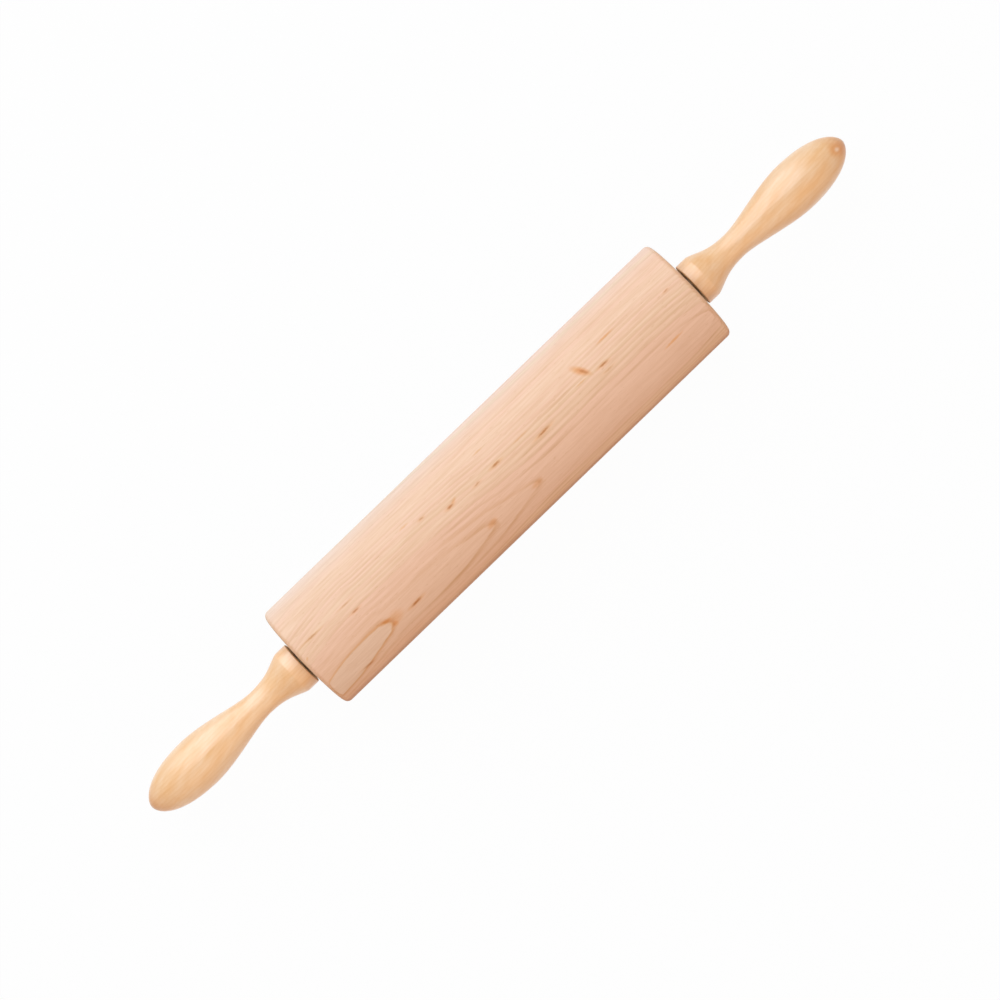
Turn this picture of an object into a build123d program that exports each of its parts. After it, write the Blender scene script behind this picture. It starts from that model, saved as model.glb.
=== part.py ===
from build123d import *
import math
import os

# A baker's rolling pin with a free-running barrel and two fixed handles, in millimetres.
# X runs along the pin, Z is up, and the origin is the middle of the barrel on its axis.
# Every station is a distance from that middle, measured outwards along either side.

# Barrel
barrel_length = 304.8
barrel_diameter = 69.85
barrel_edge_radius = 3.1
rod_room = 1.0  # between the steel rod and the hole through the barrel

# Ball bearing, one in each end of the barrel
bearing_bore = 8.0
bearing_outer_diameter = 22.0
bearing_width = 7.0
bearing_recess = 1.0  # its outer face lies this far inside the barrel's end
ring_chamfer = 0.3
ball_share = 0.567  # ball diameter over the space between bore and outside
ball_count = 7
race_share = 0.52  # race radius over ball diameter
race_depth_share = 0.3  # race depth over ball radius
race_clearance = 0.04
shield_thickness = 0.25
shield_inset = 0.05
shield_seat_share = 0.33  # how far the shield is let into the outer ring, over the ring's wall
shield_clearance = 0.3
cage_clearance = 0.35
cage_end_clearance = 0.15
cage_lip_share = 0.45  # how far the cage reaches past the balls' middles, over ball radius
pocket_clearance = 0.1

# Pressed steel cup that holds the bearing in the wood
cup_wall = 1.0
cup_flange_width = 4.0
cup_floor_width = 3.0
cup_corner_radius = 0.6

# Rod, spacer and nut
rod_shoulder = 1.0  # the step that the bearing's inner ring is pushed against
rod_tip_chamfer = 0.8
rod_overrun = 2.0  # how far the rod reaches past the handle's insert
thread_pitch = 1.25
thread_depth = 0.65
thread_flank_angle = 30.0
spacer_wall = 1.4
nut_across_flats = 13.0
nut_thickness = 4.0
nut_inset = 0.5  # the nut lies this far inside the handle's mouth
nut_room = 0.75
nut_chamfer = 0.6

# Barbed brass insert in the handle
insert_wall = 2.0
insert_length = 16.0
barb_count = 4
barb_height = 0.5
barb_crest_share = 0.35  # straight crest over barb pitch
pocket_room = 3.0  # past the rod's tip
pocket_wall_clearance = 0.3

# Handle, measured from the flat face of its collar
end_gap = 2.8  # between the barrel's end and the collar
handle_length = 119.0
collar_diameter = 28.4
collar_length = 7.9
collar_edge_radius = 0.5
waist_distance = 32.8
waist_diameter = 16.45
bulb_distance = 81.8
bulb_diameter = 31.05
cove_start_shares = (0.29, 0.36)
cove_end_share = 0.56
swell_start_share = 0.23
swell_end_share = 0.35
nose_start_share = 0.78
nose_end_share = 0.32

# Fits between pieces that don't turn on each other
press_clearance = 0.02
thread_clearance = 0.05

# Stations along the pin
barrel_end = barrel_length / 2
bearing_face = barrel_end - bearing_recess
bearing_back = bearing_face - bearing_width
bearing_middle = (bearing_face + bearing_back) / 2
cup_back = bearing_back - cup_wall
collar_face = barrel_end + end_gap
collar_end = collar_face + collar_length
waist = collar_face + waist_distance
bulb = collar_face + bulb_distance
handle_tip = collar_face + handle_length
nut_face = collar_face + nut_inset
insert_face = nut_face + nut_thickness
insert_end = insert_face + insert_length
rod_tip = insert_end + rod_overrun
pocket_end = rod_tip + pocket_room

# Radii
journal_radius = bearing_bore / 2 - press_clearance
rod_radius = bearing_bore / 2 + rod_shoulder
bearing_radius = bearing_outer_diameter / 2
pitch_radius = (bearing_bore + bearing_outer_diameter) / 4
ball_diameter = (bearing_outer_diameter - bearing_bore) / 2 * ball_share
ball_radius = ball_diameter / 2
race_radius = ball_diameter * race_share
inner_race_bottom = pitch_radius - ball_radius - race_clearance
outer_race_bottom = pitch_radius + ball_radius + race_clearance
inner_shoulder_radius = inner_race_bottom + ball_radius * race_depth_share
outer_shoulder_radius = outer_race_bottom - ball_radius * race_depth_share
outer_ring_wall = bearing_radius - outer_shoulder_radius
shield_seat_radius = outer_shoulder_radius + outer_ring_wall * shield_seat_share
shield_seat_depth = shield_thickness + shield_inset
cup_inner_radius = bearing_radius + press_clearance
cup_outer_radius = cup_inner_radius + cup_wall
flange_radius = cup_outer_radius + cup_flange_width
threaded_bore_radius = journal_radius + thread_clearance
insert_radius = threaded_bore_radius + insert_wall
nut_flat_radius = nut_across_flats / 2
nut_corner_radius = nut_flat_radius / math.cos(math.pi / 6)
collar_radius = collar_diameter / 2
waist_radius = waist_diameter / 2
bulb_radius = bulb_diameter / 2

os.makedirs("parts", exist_ok=True)


def save(piece, name):
    piece.part.label = name
    export_step(piece.part, f"parts/{name}.step")


def lengthwise(side):
    """The plane of a side's half sections: its x is the station along the pin, its y the radius."""
    return Plane(origin=(0, 0, 0), x_dir=(side, 0, 0), z_dir=(0, 0, 1))


def across(side, station):
    """The plane square to the pin at a station, facing outwards."""
    return Plane(origin=(side * station, 0, 0), z_dir=(side, 0, 0))


def band(start, end, inner, outer, mode=Mode.ADD):
    """One rectangle of a half section, between two stations and two radii."""
    with Locations(((start + end) / 2, (inner + outer) / 2)):
        Rectangle(end - start, outer - inner, mode=mode)


def make_barrel():
    with BuildPart() as barrel:
        with BuildSketch(Plane.YZ):
            Circle(barrel_diameter / 2)
        extrude(amount=barrel_end, both=True)
        fillet(barrel.edges().filter_by(GeomType.CIRCLE), barrel_edge_radius)
        with Locations(Plane.YZ):
            Hole(rod_radius + rod_room)
        # a stepped seat for the cup and its flange in each end
        for side in (-1, 1):
            with Locations(across(side, barrel_end)):
                CounterBoreHole(
                    radius=cup_outer_radius + press_clearance,
                    counter_bore_radius=flange_radius + press_clearance,
                    counter_bore_depth=cup_wall,
                    depth=barrel_end - cup_back,
                )
    save(barrel, "barrel")


def make_axle_rod():
    with BuildPart() as axle_rod:
        with BuildSketch(Plane.YZ):
            Circle(rod_radius)
        extrude(amount=bearing_back, both=True)
        # the thinner ends carry the bearings and nuts, and screw into the handles
        with BuildSketch(Plane.YZ):
            Circle(journal_radius)
        extrude(amount=rod_tip, both=True)
        ends = axle_rod.edges().group_by(Axis.X)
        chamfer(ends[0] + ends[-1], rod_tip_chamfer)
        turns = math.floor((rod_tip - rod_tip_chamfer - nut_face) / thread_pitch)
        root_radius = journal_radius - thread_depth
        mouth_radius = journal_radius + thread_depth
        half_mouth = (mouth_radius - root_radius) * math.tan(math.radians(thread_flank_angle))
        for side in (-1, 1):
            with BuildSketch(lengthwise(side)):
                for turn in range(turns):
                    root = nut_face + (turn + 0.5) * thread_pitch
                    Polygon(
                        (root - half_mouth, mouth_radius),
                        (root, root_radius),
                        (root + half_mouth, mouth_radius),
                        align=None,
                    )
            revolve(axis=Axis.X, mode=Mode.SUBTRACT)
    save(axle_rod, "axle_rod")


def make_bearing_cup(name, side):
    hole_radius = cup_inner_radius - cup_floor_width
    with BuildPart() as bearing_cup:
        with BuildSketch(lengthwise(side)) as section:
            band(cup_back, barrel_end, cup_inner_radius, cup_outer_radius)
            band(cup_back, bearing_back, hole_radius, cup_outer_radius)
            band(barrel_end - cup_wall, barrel_end, cup_inner_radius, flange_radius)
            # the two bends that the press leaves round: under the floor and at the mouth
            stations = section.vertices().group_by(Axis.X)
            bends = stations[0].sort_by(Axis.Y)[-1:] + stations[-1].sort_by(Axis.Y)[:1]
            fillet(bends, cup_corner_radius)
        revolve(axis=Axis.X)
    save(bearing_cup, name)


def make_outer_ring(name, side):
    with BuildPart() as outer_ring:
        with BuildSketch(lengthwise(side)) as section:
            band(bearing_back, bearing_face, outer_shoulder_radius, bearing_radius)
            chamfer(section.vertices().group_by(Axis.Y)[-1], ring_chamfer)
            with Locations((bearing_middle, outer_race_bottom - race_radius)):
                Circle(race_radius, mode=Mode.SUBTRACT)
            # the shields' seats
            for face, inwards in ((bearing_back, 1), (bearing_face, -1)):
                step = face + inwards * shield_seat_depth
                band(
                    min(face, step),
                    max(face, step),
                    outer_shoulder_radius,
                    shield_seat_radius,
                    mode=Mode.SUBTRACT,
                )
        revolve(axis=Axis.X)
    save(outer_ring, name)


def make_inner_ring(name, side):
    with BuildPart() as inner_ring:
        with BuildSketch(lengthwise(side)) as section:
            band(bearing_back, bearing_face, bearing_bore / 2, inner_shoulder_radius)
            chamfer(section.vertices().group_by(Axis.Y)[0], ring_chamfer)
            with Locations((bearing_middle, inner_race_bottom + race_radius)):
                Circle(race_radius, mode=Mode.SUBTRACT)
        revolve(axis=Axis.X)
    save(inner_ring, name)


def make_balls(name, side):
    with BuildPart(across(side, bearing_middle)) as balls:
        with PolarLocations(pitch_radius, ball_count):
            Sphere(ball_radius)
    save(balls, name)


def make_ball_cage(name, side):
    # a crown cage: closed behind the balls, and open in front, where they snap in
    cage_back = bearing_width / 2 - shield_seat_depth - cage_end_clearance
    cage_front = ball_radius * cage_lip_share
    middle = across(side, bearing_middle)
    with BuildPart(middle) as ball_cage:
        with BuildSketch(middle.offset(-cage_back)):
            Circle(outer_shoulder_radius - cage_clearance)
            Circle(inner_shoulder_radius + cage_clearance, mode=Mode.SUBTRACT)
        extrude(amount=cage_back + cage_front)
        with PolarLocations(pitch_radius, ball_count):
            Sphere(ball_radius + pocket_clearance, mode=Mode.SUBTRACT)
    save(ball_cage, name)


def make_shield(name, side, outer_plane):
    with BuildPart() as shield:
        with BuildSketch(lengthwise(side)):
            band(
                outer_plane - shield_thickness,
                outer_plane,
                inner_shoulder_radius + shield_clearance,
                shield_seat_radius - press_clearance,
            )
        revolve(axis=Axis.X)
    save(shield, name)


def make_spacer(name, side):
    with BuildPart() as spacer:
        with BuildSketch(lengthwise(side)):
            band(bearing_face, nut_face, threaded_bore_radius, journal_radius + spacer_wall)
        revolve(axis=Axis.X)
    save(spacer, name)


def make_nut(name, side):
    with BuildPart() as nut:
        with BuildSketch(across(side, nut_face)):
            RegularPolygon(nut_flat_radius, side_count=6, major_radius=False)
            Circle(threaded_bore_radius, mode=Mode.SUBTRACT)
        extrude(amount=nut_thickness)
        # its corners are turned down towards both faces
        past_corner = 2 * nut_corner_radius - nut_flat_radius
        with BuildSketch(lengthwise(side)):
            for face, inwards in ((nut_face, 1), (insert_face, -1)):
                Polygon(
                    (face, nut_flat_radius),
                    (face + 2 * inwards * nut_chamfer, past_corner),
                    (face, past_corner),
                    align=None,
                )
        revolve(axis=Axis.X, mode=Mode.SUBTRACT)
    save(nut, name)


def make_threaded_insert(name, side):
    barb_pitch = insert_length / barb_count
    outline = [(insert_face, threaded_bore_radius)]
    for barb in range(barb_count):
        start = insert_face + barb * barb_pitch
        outline += [
            (start, insert_radius),
            (start + barb_pitch * barb_crest_share, insert_radius),
            (start + barb_pitch, insert_radius - barb_height),
        ]
    outline.append((insert_end, threaded_bore_radius))
    with BuildPart() as threaded_insert:
        with BuildSketch(lengthwise(side)):
            with BuildLine():
                Polyline(outline, close=True)
            make_face()
        revolve(axis=Axis.X)
    save(threaded_insert, name)


def make_handle(name, side):
    cove = waist - collar_end
    swell = bulb - waist
    nose = handle_tip - bulb
    cove_start_along, cove_start_down = cove_start_shares
    with BuildPart() as handle:
        with BuildSketch(lengthwise(side)):
            with BuildLine():
                Polyline(
                    (handle_tip, 0),
                    (collar_face, 0),
                    (collar_face, collar_radius),
                    (collar_end, collar_radius),
                )
                Bezier(
                    (collar_end, collar_radius),
                    (
                        collar_end + cove * cove_start_along,
                        collar_radius - (collar_radius - waist_radius) * cove_start_down,
                    ),
                    (waist - cove * cove_end_share, waist_radius),
                    (waist, waist_radius),
                )
                Bezier(
                    (waist, waist_radius),
                    (waist + swell * swell_start_share, waist_radius),
                    (bulb - swell * swell_end_share, bulb_radius),
                    (bulb, bulb_radius),
                )
                Bezier(
                    (bulb, bulb_radius),
                    (bulb + nose * nose_start_share, bulb_radius),
                    (handle_tip, bulb_radius * nose_end_share),
                    (handle_tip, 0),
                )
            make_face()
        revolve(axis=Axis.X)
        face_edge = handle.edges().filter_by(GeomType.CIRCLE).sort_by(Axis.X)[0 if side > 0 else -1]
        fillet(face_edge, collar_edge_radius)
        # the mouth for the nut, the hole for the insert, and room for the rod's tip
        with Locations(across(-side, -collar_face)):
            Hole(nut_corner_radius + nut_room, depth=insert_face - collar_face)
            Hole(insert_radius + press_clearance, depth=insert_end - collar_face)
            Hole(journal_radius + pocket_wall_clearance, depth=pocket_end - collar_face)
    save(handle, name)


make_barrel()
make_axle_rod()
for side_name, side in (("left", -1), ("right", 1)):
    make_bearing_cup(f"{side_name}_bearing_cup", side)
    make_outer_ring(f"{side_name}_outer_ring", side)
    make_inner_ring(f"{side_name}_inner_ring", side)
    make_balls(f"{side_name}_balls", side)
    make_ball_cage(f"{side_name}_ball_cage", side)
    make_shield(f"{side_name}_outer_shield", side, bearing_face - shield_inset)
    make_shield(f"{side_name}_inner_shield", side, bearing_back + shield_seat_depth)
    make_spacer(f"{side_name}_spacer", side)
    make_nut(f"{side_name}_bearing_nut", side)
    make_threaded_insert(f"{side_name}_threaded_insert", side)
    make_handle(f"{side_name}_handle", side)
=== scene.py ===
import math

import bmesh
import bpy
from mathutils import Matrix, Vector
from mathutils.geometry import interpolate_bezier


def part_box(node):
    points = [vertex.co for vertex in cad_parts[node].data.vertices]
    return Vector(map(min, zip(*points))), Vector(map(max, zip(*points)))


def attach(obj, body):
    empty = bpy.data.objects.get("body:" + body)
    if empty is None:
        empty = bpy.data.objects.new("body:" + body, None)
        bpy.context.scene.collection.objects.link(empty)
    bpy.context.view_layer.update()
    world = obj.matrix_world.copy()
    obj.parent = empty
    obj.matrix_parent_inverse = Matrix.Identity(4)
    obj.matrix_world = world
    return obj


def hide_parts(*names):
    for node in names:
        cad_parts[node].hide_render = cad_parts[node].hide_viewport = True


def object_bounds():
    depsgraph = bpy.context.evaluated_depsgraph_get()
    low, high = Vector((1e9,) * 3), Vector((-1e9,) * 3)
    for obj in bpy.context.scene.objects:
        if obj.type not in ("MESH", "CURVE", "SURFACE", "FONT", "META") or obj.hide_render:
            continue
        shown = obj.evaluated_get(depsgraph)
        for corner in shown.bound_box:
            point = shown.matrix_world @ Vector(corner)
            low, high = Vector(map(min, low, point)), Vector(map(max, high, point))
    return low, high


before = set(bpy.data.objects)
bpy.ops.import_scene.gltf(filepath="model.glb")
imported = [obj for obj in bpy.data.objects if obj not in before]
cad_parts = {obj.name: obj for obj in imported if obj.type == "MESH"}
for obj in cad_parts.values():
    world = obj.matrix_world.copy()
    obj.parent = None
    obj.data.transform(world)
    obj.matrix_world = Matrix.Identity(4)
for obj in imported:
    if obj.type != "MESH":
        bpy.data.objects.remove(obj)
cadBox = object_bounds()


# Shader maths

class Signal:
    # one socket, so that sums on it add their own Math nodes
    def __init__(self, paint, socket):
        self.paint = paint
        self.socket = socket

    def __add__(self, other):
        return self.paint.calc("ADD", self, other)

    def __radd__(self, other):
        return self.paint.calc("ADD", other, self)

    def __sub__(self, other):
        return self.paint.calc("SUBTRACT", self, other)

    def __rsub__(self, other):
        return self.paint.calc("SUBTRACT", other, self)

    def __mul__(self, other):
        return self.paint.calc("MULTIPLY", self, other)

    def __rmul__(self, other):
        return self.paint.calc("MULTIPLY", other, self)

    def __truediv__(self, other):
        return self.paint.calc("DIVIDE", self, other)

    def __rtruediv__(self, other):
        return self.paint.calc("DIVIDE", other, self)

    def __pow__(self, other):
        return self.paint.calc("POWER", self, other)


class Paint:
    # a node tree, with helpers that add to it
    def __init__(self, tree):
        self.tree = tree
        self.tree.nodes.clear()

    def add(self, kind, settings=None, sockets=None, out=0):
        node = self.tree.nodes.new(kind)
        for key, value in (settings or {}).items():
            if key == "stops":
                self.setStops(node.color_ramp, value)
            else:
                setattr(node, key, value)
        for key, value in (sockets or {}).items():
            if isinstance(value, Signal):
                self.tree.links.new(value.socket, node.inputs[key])
            else:
                node.inputs[key].default_value = value
        return Signal(self, node.outputs[out]) if node.outputs else None

    def setStops(self, ramp, stops):
        # stops are (place, level) pairs of grey
        ramp.interpolation = "CARDINAL"
        while len(ramp.elements) < len(stops):
            ramp.elements.new(1.0)
        for element, (place, level) in zip(ramp.elements, stops):
            element.position = place
            element.color = (level, level, level, 1.0)

    def calc(self, operation, *values, clamp=False):
        settings = {"operation": operation, "use_clamp": clamp}
        return self.add("ShaderNodeMath", settings, dict(enumerate(values)))

    def ramp(self, value, low, high, start=0.0, end=1.0, kind="SMOOTHSTEP"):
        # an eased step from start to end, while the value goes from low to high
        sockets = {"Value": value, "From Min": low, "From Max": high, "To Min": start, "To Max": end}
        return self.add("ShaderNodeMapRange", {"interpolation_type": kind}, sockets)

    def slope(self, value, low, high, start=0.0, end=1.0):
        # the same in a straight line
        return self.ramp(value, low, high, start, end, "LINEAR")

    def vector(self, operation, first, second=None, out=0):
        sockets = {0: first} if second is None else {0: first, 1: second}
        return self.add("ShaderNodeVectorMath", {"operation": operation}, sockets, out)

    def length(self, x, y, z=0.0):
        return self.vector("LENGTH", self.join(x, y, z), out=1)

    def blend(self, amount, first, second, mode="MIX"):
        # mixes two colours
        sockets = {0: amount, 6: first, 7: second}
        return self.add("ShaderNodeMix", {"data_type": "RGBA", "blend_type": mode}, sockets, 2)

    def tint(self, colour, amount, shade):
        # multiplies a colour by a shade, as far as the amount says
        return self.blend(amount, colour, (*shade, 1.0), "MULTIPLY")

    def place(self):
        # the object's own coordinates, in millimetres
        coords = self.add("ShaderNodeTexCoord", out="Object")
        sockets = {"Vector": coords, "Scale": (1000, 1000, 1000)}
        return self.add("ShaderNodeMapping", {"vector_type": "POINT"}, sockets)

    def endways(self):
        # 1 where the surface faces along the pin, 0 on its sides
        normal = self.add("ShaderNodeTexCoord", out="Normal")
        return self.calc("ABSOLUTE", self.split(normal)[0])

    def split(self, vector):
        node = self.add("ShaderNodeSeparateXYZ", None, {0: vector}).socket.node
        return [Signal(self, output) for output in node.outputs]

    def join(self, x, y, z):
        return self.add("ShaderNodeCombineXYZ", None, {0: x, 1: y, 2: z})

    def noise(self, vector, stretch, detail=2.0, rough=0.5):
        sockets = {"Vector": self.vector("MULTIPLY", vector, stretch),
                   "Scale": 1.0, "Detail": detail, "Roughness": rough}
        return self.add("ShaderNodeTexNoise", {"noise_dimensions": "3D"}, sockets)

    def chance(self, number):
        # one steady random value for each whole number
        return self.add("ShaderNodeTexWhiteNoise", {"noise_dimensions": "1D"}, {"W": number})

    def bump(self, height, distance):
        sockets = {"Strength": 1.0, "Distance": distance, "Height": height}
        return self.add("ShaderNodeBump", None, sockets)

    def surface(self, sockets):
        shader = self.add("ShaderNodeBsdfPrincipled", None, sockets)
        self.add("ShaderNodeOutputMaterial", None, {"Surface": shader})


def newPaint(name):
    material = bpy.data.materials.new(name)
    material.use_nodes = True
    return material, Paint(material.node_tree)


def dress(obj, material):
    if obj.data.materials:
        for index in range(len(obj.data.materials)):
            obj.data.materials[index] = material
    else:
        obj.data.materials.append(material)


# Camera

cameraLook = {
    "height": 2.02,          # above the pin's axis, in metres
    "lens": 127.24,
    "turn": -44.01,          # the photo shows the pin rising to the right
    "shift": (0.0027, -0.026),
}


def setCamera():
    data = bpy.data.cameras.new("camera")
    data.lens = cameraLook["lens"]
    data.shift_x, data.shift_y = cameraLook["shift"]
    camera = bpy.data.objects.new("camera", data)
    camera.location = (0, 0, cameraLook["height"])
    camera.rotation_euler = (0, 0, math.radians(cameraLook["turn"]))
    bpy.context.scene.collection.objects.link(camera)
    bpy.context.scene.camera = camera
    print("camera set")


# Light, floor and background

studioLook = {
    "keySize": (1.7, 3.7),
    "keyRadiance": 3.09,
    "keyTilt": 50.0,         # degrees from straight above, towards +Y
    "keyDistance": 2.2,
    "keyColour": (0.79, 0.895, 1.0),
    "fillSize": (2.6, 2.3),
    "fillRadiance": 1.12,
    "fillTilt": -50.0,
    "fillDistance": 2.2,
    "fillColour": (1.0, 0.74, 0.5),
    "worldStrength": 0.4,
    "floorColour": (0.68, 0.68, 0.68, 1.0),
    "floorSize": 12.0,
    "shadowShare": 0.03,     # how much of the floor's own light and shadow the camera sees
}


def addLamp(name, size, radiance, tilt, distance, colour):
    lamp = bpy.data.lights.new(name, "AREA")
    lamp.shape = "RECTANGLE"
    lamp.size, lamp.size_y = size
    lamp.energy = radiance * math.pi * size[0] * size[1]
    lamp.color = colour
    holder = bpy.data.objects.new(name, lamp)
    angle = math.radians(tilt)
    holder.location = (0, distance * math.sin(angle), distance * math.cos(angle))
    holder.rotation_euler = (-angle, 0, 0)
    holder.visible_camera = False
    bpy.context.scene.collection.objects.link(holder)


def setLamps():
    for name in ("key", "fill"):
        settings = [studioLook[name + word] for word in ("Size", "Radiance", "Tilt", "Distance", "Colour")]
        addLamp(name, *settings)
    print("lamps set")


def seenDirectly(paint):
    # 1 for the rays that show the background: to the camera, in a gloss or through glass
    paths = paint.add("ShaderNodeLightPath").socket.node
    camera, glossy, through = (Signal(paint, paths.outputs[name]) for name in (
        "Is Camera Ray", "Is Glossy Ray", "Is Transmission Ray"))
    return paint.calc("MAXIMUM", paint.calc("MAXIMUM", camera, glossy), through)


def setWorld():
    world = bpy.data.worlds.new("studio")
    world.use_nodes = True
    bpy.context.scene.world = world
    paint = Paint(world.node_tree)
    strength = paint.slope(seenDirectly(paint), 0, 1, studioLook["worldStrength"], 1.0)
    light = paint.add("ShaderNodeBackground", None, {"Color": (1, 1, 1, 1), "Strength": strength})
    paint.add("ShaderNodeOutputWorld", None, {"Surface": light})
    print("world set")


def setFloor():
    bm = bmesh.new()
    bmesh.ops.create_grid(bm, x_segments=1, y_segments=1, size=studioLook["floorSize"] / 2)
    bmesh.ops.translate(bm, vec=(0, 0, cadBox[0].z), verts=bm.verts)
    floor = makeObject("floor", bm)
    material, paint = newPaint("floorPaper")
    bare = paint.add("ShaderNodeBsdfDiffuse", None, {"Color": studioLook["floorColour"]})
    white = paint.add("ShaderNodeEmission", None, {"Color": (1, 1, 1, 1), "Strength": 1.0})
    share = seenDirectly(paint) * (1 - studioLook["shadowShare"])
    mixed = paint.add("ShaderNodeMixShader", None, {0: share, 1: bare, 2: white})
    paint.add("ShaderNodeOutputMaterial", None, {"Surface": mixed})
    dress(floor, material)
    print("floor set")


# Mesh helpers

meshLimits = {
    "merge": 1e-6,           # points closer than this are one
    "near": 1e-5,            # and closer than this to a place, they lie on it
    "crispAngle": 40,        # corners sharper than this stay crisp, in degrees
}


def makeObject(name, bm):
    mesh = bpy.data.meshes.new(name)
    bm.to_mesh(mesh)
    bm.free()
    obj = bpy.data.objects.new(name, mesh)
    bpy.context.scene.collection.objects.link(obj)
    return obj


def turnOnLathe(profile, steps, closed):
    # spins an outline of (station, radius) points about the pin's axis
    bm = bmesh.new()
    points = [bm.verts.new((station, 0, radius)) for station, radius in profile]
    pairs = list(zip(points, points[1:]))
    if closed:
        pairs.append((points[-1], points[0]))
    edges = [bm.edges.new(pair) for pair in pairs]
    bmesh.ops.spin(bm, geom=points + edges, cent=(0, 0, 0), axis=(1, 0, 0),
                   angle=math.tau, steps=steps, use_merge=True)
    bmesh.ops.remove_doubles(bm, verts=bm.verts, dist=meshLimits["merge"])
    bmesh.ops.recalc_face_normals(bm, faces=bm.faces)
    return bm


def roundRims(bm, rims, radius, segments):
    # rounds the circles that lie at these (station, radius) corners
    near = meshLimits["near"]
    chosen = [edge for edge in bm.edges if any(
        all(abs(vert.co.x - station) < near and abs(vert.co.yz.length - away) < near for vert in edge.verts)
        for station, away in rims)]
    bmesh.ops.bevel(bm, geom=chosen, offset=radius, offset_type="OFFSET", affect="EDGES",
                    segments=segments, profile=0.5, material=-1, clamp_overlap=True)


def finishSmooth(bm):
    limit = math.radians(meshLimits["crispAngle"])
    for face in bm.faces:
        face.smooth = True
    for edge in bm.edges:
        edge.smooth = not (len(edge.link_faces) == 2 and edge.calc_face_angle() > limit)


# Barrel

barrelSizes = {
    "edgeRadius": 0.0031,    # in metres, as all lengths of the meshes
    "rodHole": 0.006,
    "cupRadius": 0.01204,
    "flangeRadius": 0.01604,
    "flangeDepth": 0.001,
    "cupDepth": 0.009,
    "seatEdge": 0.00015,     # the broken edge of each step
    "steps": 256,
    "edgeSegments": 10,
    "seatSegments": 2,
    "loopSpacing": 0.02,     # rings of edges along the barrel
    "loopInsets": (0.0003, 0.004),
}


def buildBarrel(material):
    sizes = barrelSizes
    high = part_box("barrel")[1]
    end = high.x
    radius = max(high.y, high.z)
    oneEnd = [
        (end - sizes["cupDepth"], sizes["rodHole"]),
        (end - sizes["cupDepth"], sizes["cupRadius"]),
        (end - sizes["flangeDepth"], sizes["cupRadius"]),
        (end - sizes["flangeDepth"], sizes["flangeRadius"]),
        (end, sizes["flangeRadius"]),
        (end, radius),
    ]
    profile = oneEnd + [(-station, away) for station, away in reversed(oneEnd)]
    bm = turnOnLathe(profile, sizes["steps"], closed=True)
    roundRims(bm, [(end, radius), (-end, radius)], sizes["edgeRadius"], sizes["edgeSegments"])
    seats = [(side * end, sizes["flangeRadius"]) for side in (-1, 1)]
    roundRims(bm, seats, sizes["seatEdge"], sizes["seatSegments"])
    straight = end - sizes["edgeRadius"]
    stations = [side * (straight - inset) for side in (-1, 1) for inset in sizes["loopInsets"]]
    count = int(straight / sizes["loopSpacing"])
    stations += [index * sizes["loopSpacing"] for index in range(-count + 1, count)]
    for station in stations:
        bmesh.ops.bisect_plane(bm, geom=bm.verts[:] + bm.edges[:] + bm.faces[:],
                               plane_co=(station, 0, 0), plane_no=(1, 0, 0))
    finishSmooth(bm)
    barrel = makeObject("barrel_wood", bm)
    dress(barrel, material)
    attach(barrel, "roller")
    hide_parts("barrel")
    print("barrel built:", len(barrel.data.polygons), "faces")


# Handles

handleSizes = {
    "collarLength": 0.0079,
    "collarEdge": 0.0005,
    "collarRadius": 0.0142,
    "arrisEdge": 0.00025,
    "waist": 0.0328,         # from the collar's flat face
    "waistRadius": 0.008225,
    "bulb": 0.0818,
    "bulbRadius": 0.015525,
    # how far each curve is pulled at its two ends, as shares of its length or height
    "coveStart": (0.29, 0.36),
    "coveEnd": 0.56,
    "swellStart": 0.23,
    "swellEnd": 0.35,
    "noseStart": 0.78,
    "noseEnd": 0.32,
    # the hole for the rod and its insert
    "mouthRadius": 0.008256,
    "mouthDepth": 0.0045,
    "insertRadius": 0.00605,
    "insertDepth": 0.0205,
    "pocketRadius": 0.00428,
    "pocketDepth": 0.0255,
    "mouthEdge": 0.0003,
    "steps": 160,
    "curvePoints": 34,
    "collarSegments": 4,
    "mouthSegments": 3,
    "arrisSegments": 2,
}


def curve(start, startPull, endPull, end):
    # the points of one cubic stretch, without its first
    knots = [Vector((station, away, 0)) for station, away in (start, startPull, endPull, end)]
    points = interpolate_bezier(*knots, handleSizes["curvePoints"])
    return [(point.x, point.y) for point in points[1:]]


def handleOutline(length):
    # from the bottom of the rod's pocket out through the mouth, and round the outside to the tip
    sizes = handleSizes
    collarEnd = (sizes["collarLength"], sizes["collarRadius"])
    waist = (sizes["waist"], sizes["waistRadius"])
    bulb = (sizes["bulb"], sizes["bulbRadius"])
    tip = (length, 0)
    cove = waist[0] - collarEnd[0]
    swell = bulb[0] - waist[0]
    nose = length - bulb[0]
    along, down = sizes["coveStart"]
    covePull = (collarEnd[0] + cove * along, collarEnd[1] - (collarEnd[1] - waist[1]) * down)
    outside = [(0, collarEnd[1]), collarEnd]
    outside += curve(collarEnd, covePull, (waist[0] - cove * sizes["coveEnd"], waist[1]), waist)
    outside += curve(waist, (waist[0] + swell * sizes["swellStart"], waist[1]),
                     (bulb[0] - swell * sizes["swellEnd"], bulb[1]), bulb)
    outside += curve(bulb, (bulb[0] + nose * sizes["noseStart"], bulb[1]),
                     (length, bulb[1] * sizes["noseEnd"]), tip)
    inside = [
        (sizes["pocketDepth"], 0),
        (sizes["pocketDepth"], sizes["pocketRadius"]),
        (sizes["insertDepth"], sizes["pocketRadius"]),
        (sizes["insertDepth"], sizes["insertRadius"]),
        (sizes["mouthDepth"], sizes["insertRadius"]),
        (sizes["mouthDepth"], sizes["mouthRadius"]),
        (0, sizes["mouthRadius"]),
    ]
    return inside + outside


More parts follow.
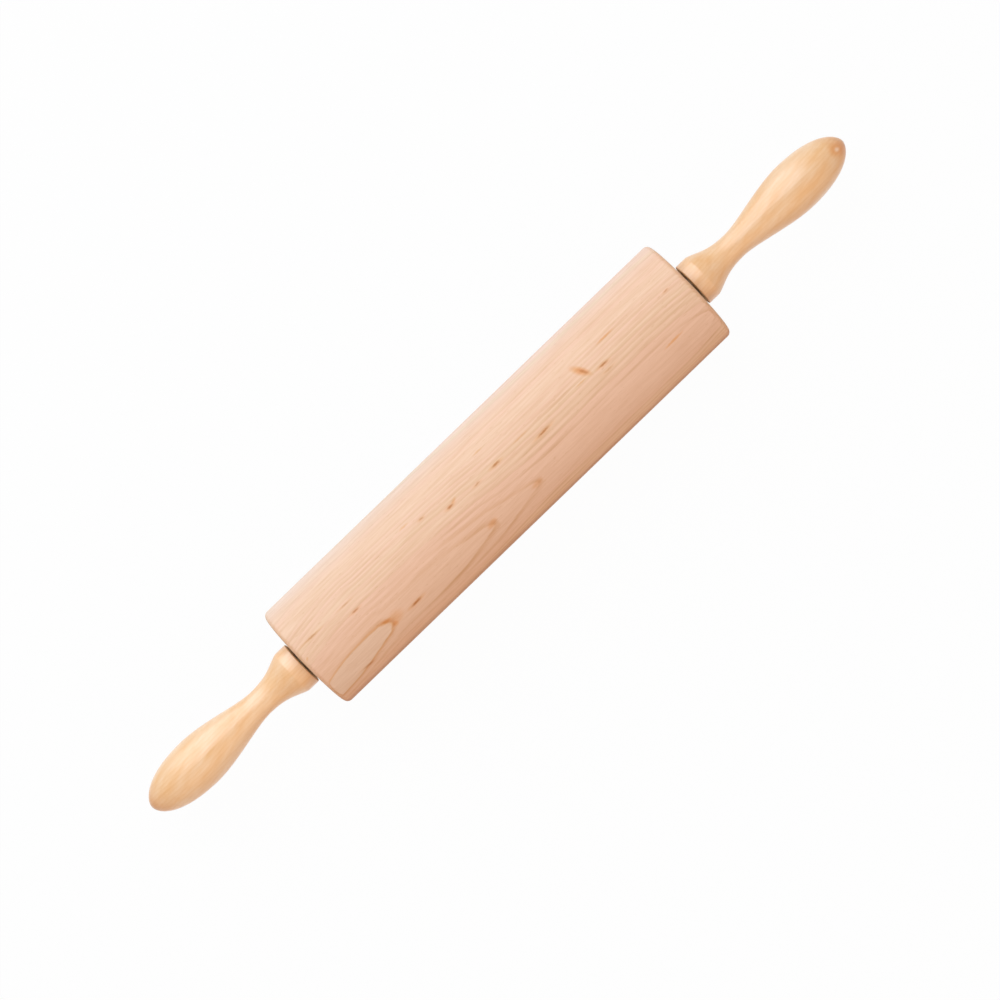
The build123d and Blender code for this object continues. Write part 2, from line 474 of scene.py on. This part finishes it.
def isBare(face, collarFace):
    # the collar's flat face and the walls of the hole are left without lacquer
    sizes = handleSizes
    middle = face.calc_center_median()
    depth = abs(middle.x) - collarFace
    near = meshLimits["near"]
    atMouth = depth < sizes["mouthDepth"]
    wall = sizes["mouthRadius"] + sizes["mouthEdge"] if atMouth else sizes["insertRadius"]
    return depth < near or (depth < sizes["pocketDepth"] + near and middle.yz.length < wall)


def buildHandle(side, name, lacquered, bare):
    sizes = handleSizes
    low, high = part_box(name)
    collarFace = low.x if side > 0 else -high.x
    outline = [(side * (collarFace + station), away) for station, away in handleOutline(high.x - low.x)]
    bm = turnOnLathe(outline, sizes["steps"], closed=False)
    collar, arris = (side * (collarFace + inset) for inset in (0, sizes["collarLength"]))
    roundRims(bm, [(collar, sizes["collarRadius"])], sizes["collarEdge"], sizes["collarSegments"])
    roundRims(bm, [(collar, sizes["mouthRadius"])], sizes["mouthEdge"], sizes["mouthSegments"])
    roundRims(bm, [(arris, sizes["collarRadius"])], sizes["arrisEdge"], sizes["arrisSegments"])
    finishSmooth(bm)
    for face in bm.faces:
        face.material_index = 1 if isBare(face, collarFace) else 0
    handle = makeObject(name + "_wood", bm)
    handle.data.materials.append(lacquered)
    handle.data.materials.append(bare)
    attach(handle, "axle")
    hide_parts(name)
    print(name, "built:", len(handle.data.polygons), "faces")


# Wood finishes

def growthRings(paint, y, z, endways, look, shift, lean):
    # the count of rings at each place, and a thin line at every whole one
    across = y - look["pith"][0]
    down = z - look["pith"][1]
    away = paint.length(0.0, across, down)
    share = away / look["reach"]
    count = look["reach"] / (look["ringWidth"] * look["growth"])
    rings = (share ** look["growth"] - 1) * count + shift
    # how fast the count changes over the surface gives every line its width in millimetres
    close = share ** (look["growth"] - 1) / look["ringWidth"]
    around = (across * z - down * y) / (away * paint.length(0.0, y, z))
    steep = paint.length(around * close, lean, endways * close) + look["leastSlope"]
    first, last, breadth = look["broadening"]
    steep = steep * paint.slope(rings, first, last, 1.0, breadth)
    part = paint.calc("FRACT", rings)
    soft, crisp = look["lineWidth"]
    before = paint.ramp((1 - part) / steep, soft, 0.0)
    after = paint.ramp(part / steep, crisp, 0.0)
    return rings, paint.calc("MAXIMUM", before, after)


def markAmount(paint, flat, marks, edge=(1.25, 0.25)):
    # short marks in the wood, each an ellipse on the unrolled surface. The edge says where it ends
    # and where it is full, as shares of its size
    total = 0.0
    for along, across, length, width, slant, depth in marks:
        sockets = {"Vector": flat, "Location": (along, across, 0), "Rotation": (0, 0, math.radians(slant)),
                   "Scale": (length / 2, width / 2, 1)}
        mapped = paint.add("ShaderNodeMapping", {"vector_type": "TEXTURE"}, sockets)
        reach = paint.vector("LENGTH", mapped, out=1)
        total = paint.calc("MAXIMUM", paint.ramp(reach, *edge, 0.0, depth), total)
    return total


def grainAmount(paint, fibre, fine, look):
    # the share of the fibre tint at each place
    broad = paint.slope(fibre, *look["fibreSpan"]) * look["fibreShare"]
    return broad + paint.slope(fine, *look["fineSpan"]) * look["fineShare"]


mapleLook = {
    # the growth rings, in millimetres. Four numbers are from where to where, and the values there
    "pith": (33.4, -49.9),              # where the tree's middle lies beside the barrel, Y and Z
    "reach": 94.97,                     # from there to the barrel's far side
    "ringWidth": 0.93,                  # on the far side, and wider towards the pith
    "growth": 5.0,                      # how fast they widen
    "lineWidth": (2.0, 0.9),            # on a line's soft side and on its crisp side
    "broadening": (0.4, 0.9, 1.5),      # from and to which ring, and how many times
    "leastSlope": 0.004,                # added to the slope, so that nothing is divided by zero
    "pithFade": (34.0, 47.0),           # nearer to the pith the rings lie too far apart to show
    # how many rings the tree's taper lifts the figure by, at each place along the barrel
    "taper": (
        (-152, 3.53), (-137, 3.66), (-125, 3.55), (-114, 3.38), (-105, 3.2), (-100.8, 3.0),
        (-93, 2.91), (-63, 2.86), (-42, 2.46), (-19, 1.96), (-8, 1.46), (14, 1.0),
        (36, 0.8), (92, 0.9), (131, 0.75), (152, 0.05),
    ),
    "taperSpan": 160.0,                 # how far it reaches each way
    "taperRings": 4.0,                  # the full height of its colour ramp
    "taperStep": 2.0,                   # its slope is read over this length
    "twist": (-100.0, -170.0, -14.0),   # from and to along the barrel, and how many degrees
    # noises that make the rings wander: stretch, and share in rings
    "wander": (((0.012, 0.035, 0.035), 0.2), ((0.05, 0.14, 0.14), 0.16), ((0.3, 0.7, 0.7), 0.07)),
    # how dark the lines are, by ring number: 0 is the last open ring, and 1 to 3 are pointed
    "outerDepth": (-11.0, 0.0, 0.12, 0.52),
    "pointedDepth": (0.0, 3.0, 0.0, 0.22),
    "depthSpread": 0.25,
    # and limb by limb, told apart by the degrees from the top towards +Y
    "openFarSide": (-38.0, -44.0),
    "openFarFade": 0.85,
    "secondFade": 0.3,
    "longSide": (-32.0, -38.0),         # ring 2 has a longer, darker far limb
    "longGain": 0.55,
    "longShift": 22.0,
    "lowerSide": (12.0, -8.0),          # the others fade leftwards on this side
    "leftFade": (-25.0, -58.0),
    "leftFadeDepth": 0.72,
    "innerFade": (-98.0, -116.0, 0.35, 0.55),    # ring 3, leftwards
    "patchNoise": {"stretch": (0.02, 0.08, 0.08)},
    "patchSpan": (0.3, 0.7, 0.35, 1.25),
    # the fibres
    "fibreNoise": {"stretch": (0.035, 0.55, 0.55), "detail": 3.0, "rough": 0.6},
    "fibreSpan": (0.35, 0.68),
    "fibreShare": 0.6,
    "fineNoise": {"stretch": (0.09, 2.2, 2.2), "rough": 0.6},
    "fineSpan": (0.3, 0.7),
    "fineShare": 0.4,
    "fleckNoise": {"stretch": (0.22, 1.5, 1.5), "detail": 1.0},
    "fleckSpan": (0.66, 0.78),
    "fleckDepth": 0.35,
    # colours, most of them tints
    "pale": (0.87, 0.672, 0.572),       # painted sheen: the upper side, paler where the light falls on it
    "deep": (0.988, 0.863, 0.76),       # the wood's own tint, everywhere but the painted sheen
    "paintedSheenRise": (40.0, 80.0),        # degrees
    "paintedSheenFall": (140.0, 95.0),
    "paintedLightReach": (20.0, 33.0),               # the painted sheen and the painted shade bands fade out between these radii
    # painted shade: the side towards +Y darker towards the right end, where the light falls off
    "paintedRightShade": (0.985, 0.95, 0.93),
    "rightSpan": (-150.0, 150.0),
    "rightTurn": (0.0, 57.3),           # degrees
    "rosy": (1.0, 0.955, 0.925),
    "straw": (0.985, 0.995, 0.92),
    "line": (0.76, 0.63, 0.47),
    "warmLine": (1.0, 0.92, 0.8),       # more of it for the broader lines
    "warmSpan": (0.4, 0.9),
    "warmDepth": 0.7,
    "fibre": (0.9, 0.84, 0.77),
    "endGrain": (0.92, 0.83, 0.72),
    "endSpan": (0.9, 0.99),
    "rim": (1.0, 0.94, 0.86),
    "rimSpan": (0.15, 0.6),
    "heart": (0.85, 0.6, 0.49, 1.0),    # the pale wood inside the innermost ring
    "heartSpan": (3.0, 3.1),
    "heartDepth": 0.4,
    "haloSpan": (2.78, 3.0),            # and the stain round its tip
    "haloPlace": (-90.0, -104.0),
    "haloDepth": 0.6,
    # painted shade: brown bands along the side that lies low, where shade falls: middle, half widths where
    # full and gone, in degrees
    "paintedShadeBands": (
        (-90.0, 12.0, 48.0, (0.94, 0.82, 0.69)),
        (-90.0, 11.0, 24.0, (0.72, 0.6, 0.5)),
    ),
    "swayNoise": {"stretch": (0.012, 0.03, 0.03)},
    "sway": 8.0,
    # marks: place along, degrees from the top towards +Y, length, width, slant in degrees, depth
    "brown": (0.66, 0.46, 0.28),
    "brownMarks": (
        (3.2, 7.6, 6.4, 1.6, 0, 0.9), (-31.8, 8.6, 5.0, 1.6, 0, 0.9),
        (35.0, -1.5, 10.0, 1.5, 2, 0.9), (85.6, 4.9, 6.4, 1.6, -3, 0.85),
        (-82.8, -35.4, 8.0, 1.9, 3, 1.0), (-110.7, 0.3, 5.4, 1.2, 0, 0.75),
        (-138.9, 11.1, 11.0, 1.1, 0, 0.6), (-112.9, 11.1, 8.0, 1.0, 0, 0.4),
        (-127.0, -51.0, 9.0, 1.8, -6, 0.6), (-12.0, 6.4, 4.6, 1.2, 0, 0.55),
        (-48.3, 19.5, 3.6, 1.2, 0, 0.6), (74.8, 13.0, 6.4, 2.0, -60, 0.6),
        (86.0, -1.8, 8.0, 1.1, 0, 0.4), (139.6, 13.9, 4.0, 1.1, 0, 0.55),
    ),
    "orange": (0.93, 0.73, 0.5),
    "orangeMarks": (
        (73.6, 15.6, 14.0, 5.4, -60, 1.0), (97.0, 23.0, 14.0, 1.5, 0, 1.0),
        (123.4, -25.2, 16.0, 1.8, 2, 1.0), (-102.5, -28.0, 10.0, 3.2, -8, 1.0),
        (-99.6, -36.0, 5.0, 4.4, 0, 1.0), (-97.0, -31.0, 13.0, 9.0, 0, 0.5),
        (-149.0, -1.0, 3.0, 1.4, 40, 0.6), (-21.3, -31.2, 9.0, 4.6, 14, 0.75),
        (12.5, -33.8, 9.0, 4.4, 8, 0.55), (-58.8, 25.9, 8.0, 1.4, 0, 0.6),
        (69.5, 6.9, 9.0, 1.2, 0, 0.6), (23.5, 10.0, 14.0, 1.2, 0, 0.5),
        (-28.0, 10.6, 5.0, 2.0, 20, 0.7), (0.6, 29.0, 8.0, 1.4, 0, 0.5),
    ),
    "stainEdge": (2.4, 0.6),            # a wider, fainter orange edge round each brown mark
    "stainDepth": 0.6,
    "rippleNoise": {"stretch": (0.5, 1.1, 1.1)},
    "ripple": 0.9,                      # how far it shakes the marks' edges
    # the surface
    "roughness": (0.3, 0.7, 0.5, 0.6),
    "specular": 0.22,
    "relief": 0.00002,                  # in metres
}


def taperedShift(paint, x):
    # the lift of the figure along the barrel, and how fast it changes there
    look = mapleLook
    span = look["taperSpan"]
    stops = [((along + span) / (2 * span), rings / look["taperRings"]) for along, rings in look["taper"]]
    lifts = []
    for step in (0.0, look["taperStep"]):
        factor = paint.slope(x + step, -span, span)
        lift = paint.add("ShaderNodeValToRGB", {"stops": stops}, {"Fac": factor})
        lifts.append(lift * look["taperRings"])
    return lifts[0], (lifts[1] - lifts[0]) / look["taperStep"]


def lineDepth(paint, rings, x, turn):
    # how dark each ring's line is, limb by limb
    look = mapleLook
    number = paint.calc("ROUND", rings)
    depth = paint.slope(number, *look["outerDepth"]) + paint.slope(number, *look["pointedDepth"])
    depth = depth + (paint.chance(number) - 0.5) * look["depthSpread"]
    lastOpen, second = (paint.calc("COMPARE", number, ring, 0.5) for ring in (0.0, 2.0))
    inner = paint.calc("GREATER_THAN", number, 2.5)
    # the far limb of the last open ring hardly shows
    depth = depth * (1 - look["openFarFade"] * lastOpen * paint.ramp(turn, *look["openFarSide"]))
    # the rings outside the third fade towards the left end
    longLimb = second * paint.ramp(turn, *look["longSide"])
    leftwards = paint.ramp(x + longLimb * look["longShift"], *look["leftFade"])
    fading = (1 - inner) * paint.ramp(turn, *look["lowerSide"]) * leftwards
    depth = depth * (1 - look["leftFadeDepth"] * fading)
    depth = depth * (1 - look["secondFade"] * second + look["longGain"] * longLimb)
    return depth * (1 - inner * paint.ramp(x, *look["innerFade"]))


# painted shade: darker bands along the barrel's low side
def addPaintedShadeBands(paint, colour, place, turn, paintedLightReach):
    look = mapleLook
    sway = (paint.noise(place, **look["swayNoise"]) - 0.5) * look["sway"]
    for middle, full, gone, shade in look["paintedShadeBands"]:
        aside = paint.calc("ABSOLUTE", turn + sway - middle)
        colour = paint.tint(colour, paint.ramp(aside, gone, full) * paintedLightReach, shade)
    return colour


def makeMaple(radius):
    look = mapleLook
    material, paint = newPaint("sandedMaple")
    place = paint.place()
    x, sideY, sideZ = paint.split(place)
    turn = paint.calc("DEGREES", paint.calc("ARCTAN2", sideY, sideZ))
    endways = paint.endways()
    start, end, angle = look["twist"]
    twist = paint.ramp(x, start, end, 0.0, math.radians(angle))
    twisted = paint.add("ShaderNodeVectorRotate", {"rotation_type": "X_AXIS"},
                        {"Vector": place, "Angle": twist})
    y, z = paint.split(twisted)[1:]
    shift, lean = taperedShift(paint, x)
    for stretch, share in look["wander"]:
        shift = shift + (paint.noise(place, stretch) - 0.5) * share
    rings, line = growthRings(paint, y, z, endways, look, shift, lean)
    pithY, pithZ = look["pith"]
    apart = paint.ramp(paint.length(0.0, y - pithY, z - pithZ), *look["pithFade"])
    patchy = paint.slope(paint.noise(place, **look["patchNoise"]), *look["patchSpan"])
    line = paint.calc("MULTIPLY", line * lineDepth(paint, rings, x, turn) * apart, patchy, clamp=True)
    fibre = paint.noise(place, **look["fibreNoise"])
    fine = paint.noise(place, **look["fineNoise"])
    fleck = paint.ramp(paint.noise(place, **look["fleckNoise"]), *look["fleckSpan"])

    # painted sheen on the upper side, and the wood between the lines
    paintedLightReach = paint.ramp(paint.length(0.0, sideY, sideZ), *look["paintedLightReach"])
    paintedSheen = paint.ramp(turn, *look["paintedSheenRise"]) * paint.ramp(turn, *look["paintedSheenFall"]) * paintedLightReach
    colour = paint.tint((*look["pale"], 1.0), 1 - paintedSheen, look["deep"])
    # painted shade towards the right end
    rightwards = paint.slope(x, *look["rightSpan"]) * paint.slope(turn, *look["rightTurn"])
    colour = paint.tint(colour, rightwards, look["paintedRightShade"])
    band = (paint.chance(paint.calc("FLOOR", rings) + 0.5) - 0.5) * apart + 0.5
    colour = paint.tint(colour, band, look["rosy"])
    colour = paint.tint(colour, 1 - band, look["straw"])
    inside = paint.ramp(rings, *look["heartSpan"])
    colour = paint.blend(inside * look["heartDepth"], colour, look["heart"])
    halo = paint.ramp(rings, *look["haloSpan"]) * (1 - inside) * paint.ramp(x, *look["haloPlace"])
    colour = paint.tint(colour, halo * look["haloDepth"], look["orange"])

    # lines, fibres, marks and the painted shade bands
    colour = paint.tint(colour, line, look["line"])
    warm = line * paint.slope(rings, *look["warmSpan"]) * look["warmDepth"]
    colour = paint.tint(colour, warm, look["warmLine"])
    colour = paint.tint(colour, grainAmount(paint, fibre, fine, look), look["fibre"])
    colour = paint.tint(colour, fleck * look["fleckDepth"], look["line"])
    ripple = (paint.noise(place, **look["rippleNoise"]) - 0.5) * look["ripple"]
    perDegree = math.radians(1.0) * radius    # millimetres round the barrel
    flat = paint.join(x, turn * perDegree + ripple, 0.0)
    orange, brown = ([(along, angle * perDegree, *rest) for along, angle, *rest in look[name]]
                     for name in ("orangeMarks", "brownMarks"))
    colour = paint.tint(colour, markAmount(paint, flat, orange), look["orange"])
    stain = markAmount(paint, flat, brown, look["stainEdge"]) * look["stainDepth"]
    colour = paint.tint(colour, stain, look["orange"])
    colour = paint.tint(colour, markAmount(paint, flat, brown), look["brown"])
    colour = addPaintedShadeBands(paint, colour, place, turn, paintedLightReach)
    colour = paint.tint(colour, paint.ramp(endways, *look["rimSpan"]), look["rim"])
    colour = paint.tint(colour, paint.ramp(endways, *look["endSpan"]), look["endGrain"])
    paint.surface({
        "Base Color": colour,
        "Roughness": paint.slope(fibre, *look["roughness"]),
        "Specular IOR Level": look["specular"],
        "Normal": paint.bump(fine + fibre, look["relief"]),
    })
    return material


handleLook = {
    # the growth rings, in millimetres
    "pith": (-52.0, 6.0),
    "reach": 67.9,
    "ringWidth": 1.7,
    "growth": 1.5,
    "lineWidth": (1.1, 0.5),
    "broadening": (0.0, 1.0, 1.0),      # none
    "leastSlope": 0.004,
    "lean": 0.01,                       # rings per millimetre along the handle
    "wanderNoise": {"stretch": (0.012, 0.03, 0.03)},
    "wander": 1.8,
    "leastDepth": 0.25,
    "depthSpread": 0.5,
    # the fibres and the broad wisps, which run aslant
    "slant": -0.2,
    "fibreNoise": {"stretch": (0.035, 0.42, 0.42), "detail": 3.0, "rough": 0.6},
    "fibreSpan": (0.35, 0.68),
    "fibreShare": 0.65,
    "fineNoise": {"stretch": (0.09, 2.4, 2.4), "rough": 0.6},
    "fineSpan": (0.3, 0.7),
    "fineShare": 0.25,
    "cloudNoise": {"stretch": (0.035, 0.16, 0.16), "detail": 3.0},
    "cloudSpan": (0.3, 0.7),
    # colours, most of them tints
    "pale": (0.89, 0.592, 0.36),
    # painted shade: darker towards the right end, where the light falls off
    "paintedRightShade": (0.95, 0.935, 0.92),
    "rightSpan": (-150.0, 200.0),
    "line": (0.96, 0.91, 0.84),
    "fibre": (0.95, 0.89, 0.8),
    "cloud": (0.95, 0.8, 0.57),
    "endGrain": (0.93, 0.72, 0.5),
    "endSpan": (0.3, 0.85),
    # a mark on top of one handle, in millimetres, and on the other's tip a painted highlight, a pale spot
    # in an orange ring of end grain
    "upperSpan": (0.0, 1.0),            # only above the axis
    "streak": (-228.0, -0.61, 12.0, 2.6, 8, 0.8),
    "streakShade": (0.94, 0.85, 0.66),
    "tipMark": (267.2, -1.4, 1.5, 1.3),
    "tipRing": (0.95, 0.74, 0.48),
    "tipRingSpan": (4.5, 1.2),
    "tipPaintedHighlight": (0.93, 0.74, 0.56, 1.0),
    "tipPaintedHighlightSpan": (1.6, 0.1),
    "tipPaintedHighlightDepth": 0.5,
    # the lacquered surface
    "roughness": (0.3, 0.7, 0.45, 0.55),
    "specular": 0.2,
    "coatRoughness": 0.3,
    "coatIor": 1.62,
    # the bare wood of the collar's face and of the hole, its colour lightened as painted light for the
    # narrow, shaded gap
    "bare": (0.98, 0.66, 0.37),
    "bareLineDepth": 0.8,
    "poreNoise": {"stretch": (0.1, 2.6, 2.6)},
    "poreSpan": (0.55, 0.7),
    "pore": (0.6, 0.55, 0.5),
    "bareRoughness": 0.9,
    "bareSpecular": 0.05,
    "poreDepth": 0.00008,
}


def makeHandleWood():
    look = handleLook
    material, paint = newPaint("lacqueredHardwood")
    place = paint.place()
    x, y, z = paint.split(place)
    endways = paint.endways()
    wander = (paint.noise(place, **look["wanderNoise"]) - 0.5) * look["wander"]
    rings, line = growthRings(paint, y, z, endways, look, wander, look["lean"])
    aslant = paint.join(x, y + x * look["slant"], z)
    fibre = paint.noise(aslant, **look["fibreNoise"])
    fine = paint.noise(place, **look["fineNoise"])
    cloud = paint.noise(aslant, **look["cloudNoise"])
    depth = look["leastDepth"] + look["depthSpread"] * paint.chance(paint.calc("ROUND", rings))
    colour = paint.tint((*look["pale"], 1.0), line * depth, look["line"])
    # painted shade towards the right end
    colour = paint.tint(colour, paint.slope(x, *look["rightSpan"]), look["paintedRightShade"])
    colour = paint.tint(colour, grainAmount(paint, fibre, fine, look), look["fibre"])
    colour = paint.tint(colour, paint.slope(cloud, *look["cloudSpan"]), look["cloud"])
    colour = paint.tint(colour, paint.ramp(endways, *look["endSpan"]), look["endGrain"])
    upper = paint.ramp(z, *look["upperSpan"])
    streak = markAmount(paint, paint.join(x, y, 0.0), [look["streak"]])
    colour = paint.tint(colour, streak * upper, look["streakShade"])
    along, aside, length, width = look["tipMark"]
    spot = paint.length((x - along) / length, (y - aside) / width)
    colour = paint.tint(colour, paint.ramp(spot, *look["tipRingSpan"]) * upper, look["tipRing"])
    # the painted highlight in the middle of the tip's ring
    pale = paint.ramp(spot, *look["tipPaintedHighlightSpan"]) * upper * look["tipPaintedHighlightDepth"]
    colour = paint.blend(pale, colour, look["tipPaintedHighlight"])
    paint.surface({
        "Base Color": colour,
        "Roughness": paint.slope(fibre, *look["roughness"]),
        "Specular IOR Level": look["specular"],
        "Coat Weight": 1.0,
        "Coat Roughness": look["coatRoughness"],
        "Coat IOR": look["coatIor"],
    })
    return material


def makeBareEndGrain():
    # the unfinished end of the handle's wood, with its open pores, lightened as painted light for the
    # shaded gap
    look = handleLook
    material, paint = newPaint("bareEndGrain")
    place = paint.place()
    y, z = paint.split(place)[1:]
    line = growthRings(paint, y, z, paint.endways(), look, 0.0, look["lean"])[1]
    pores = paint.ramp(paint.noise(place, **look["poreNoise"]), *look["poreSpan"])
    colour = paint.tint((*look["bare"], 1.0), line * look["bareLineDepth"], look["line"])
    colour = paint.tint(colour, pores, look["pore"])
    paint.surface({
        "Base Color": colour,
        "Roughness": look["bareRoughness"],
        "Specular IOR Level": look["bareSpecular"],
        "Normal": paint.bump(pores, look["poreDepth"]),
    })
    return material


# Metal and nylon finishes

metalLooks = {
    "rodSteel": {"colour": (0.55, 0.55, 0.56), "rough": 0.34},
    "platedSteel": {"colour": (0.62, 0.62, 0.63), "rough": 0.3},
    "bearingSteel": {"colour": (0.58, 0.58, 0.59), "rough": 0.22},
    "ballSteel": {"colour": (0.72, 0.72, 0.74), "rough": 0.08},
    "turnedBrass": {"colour": (0.72, 0.5, 0.19), "rough": 0.26},
    # painted shade: steel coloured dark brown for the spacer and nut in the shaded gap
    "paintedShadeSteel": {"colour": (0.3, 0.2, 0.12), "rough": 0.5},
}

turnedLook = {
    "markNoise": {"stretch": (6, 6, 0), "detail": 3.0, "rough": 0.6},
    "markSpan": (0.3, 0.7),
    "markDepth": 0.000004,
    "cloudNoise": {"stretch": (0.35, 0.35, 0.35), "detail": 3.0},
    "cloudSpan": (0.3, 0.7),
    "darkShare": 0.86,
    "roughShares": (0.75, 1.3),
}


def makeMetal(name):
    colour, rough = metalLooks[name]["colour"], metalLooks[name]["rough"]
    look = turnedLook
    material, paint = newPaint(name)
    place = paint.place()
    x, y, z = paint.split(place)
    # the turning marks run round the pin's axis
    marks = paint.noise(paint.join(x, paint.length(0.0, y, z), 0.0), **look["markNoise"])
    cloud = paint.ramp(paint.noise(place, **look["cloudNoise"]), *look["cloudSpan"])
    darker = tuple(part * look["darkShare"] for part in colour)
    smoothest, roughest = (rough * share for share in look["roughShares"])
    paint.surface({
        "Base Color": paint.blend(cloud, (*darker, 1.0), (*colour, 1.0)),
        "Metallic": 1.0,
        "Roughness": paint.slope(marks, *look["markSpan"], smoothest, roughest),
        "Normal": paint.bump(marks, look["markDepth"]),
    })
    return material


nylonLook = {
    "cloudNoise": {"stretch": (0.8, 0.8, 0.8), "detail": 3.0},
    "dark": (0.62, 0.58, 0.47, 1.0),
    "light": (0.74, 0.71, 0.6, 1.0),
    "roughness": (0.2, 0.8, 0.4, 0.55),
    "relief": 0.00001,
}


def makeNylon():
    look = nylonLook
    material, paint = newPaint("cageNylon")
    cloud = paint.noise(paint.place(), **look["cloudNoise"])
    paint.surface({
        "Base Color": paint.blend(cloud, look["dark"], look["light"]),
        "Roughness": paint.slope(cloud, *look["roughness"]),
        "Normal": paint.bump(cloud, look["relief"]),
    })
    return material


finishOfNode = {
    "axle_rod": "rodSteel",
    "spacer": "paintedShadeSteel",
    "bearing_cup": "platedSteel",
    "outer_shield": "platedSteel",
    "inner_shield": "platedSteel",
    "bearing_nut": "paintedShadeSteel",
    "outer_ring": "bearingSteel",
    "inner_ring": "bearingSteel",
    "balls": "ballSteel",
    "ball_cage": "cageNylon",
    "threaded_insert": "turnedBrass",
}


def dressMetal():
    finishes = {name: makeMetal(name) for name in metalLooks}
    finishes["cageNylon"] = makeNylon()
    for name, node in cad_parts.items():
        kind = name.removeprefix("left_").removeprefix("right_")
        if kind in finishOfNode:
            dress(node, finishes[finishOfNode[kind]])
    print("metal and nylon dressed")


setCamera()
setLamps()
setWorld()
setFloor()
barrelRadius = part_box("barrel")[1].y * 1000    # in millimetres, for the marks round it
buildBarrel(makeMaple(barrelRadius))
handleWood = makeHandleWood()
bareWood = makeBareEndGrain()
buildHandle(-1, "left_handle", handleWood, bareWood)
buildHandle(1, "right_handle", handleWood, bareWood)
dressMetal()

bpy.context.scene.view_settings.view_transform = "Standard"
bpy.context.view_layer.update()
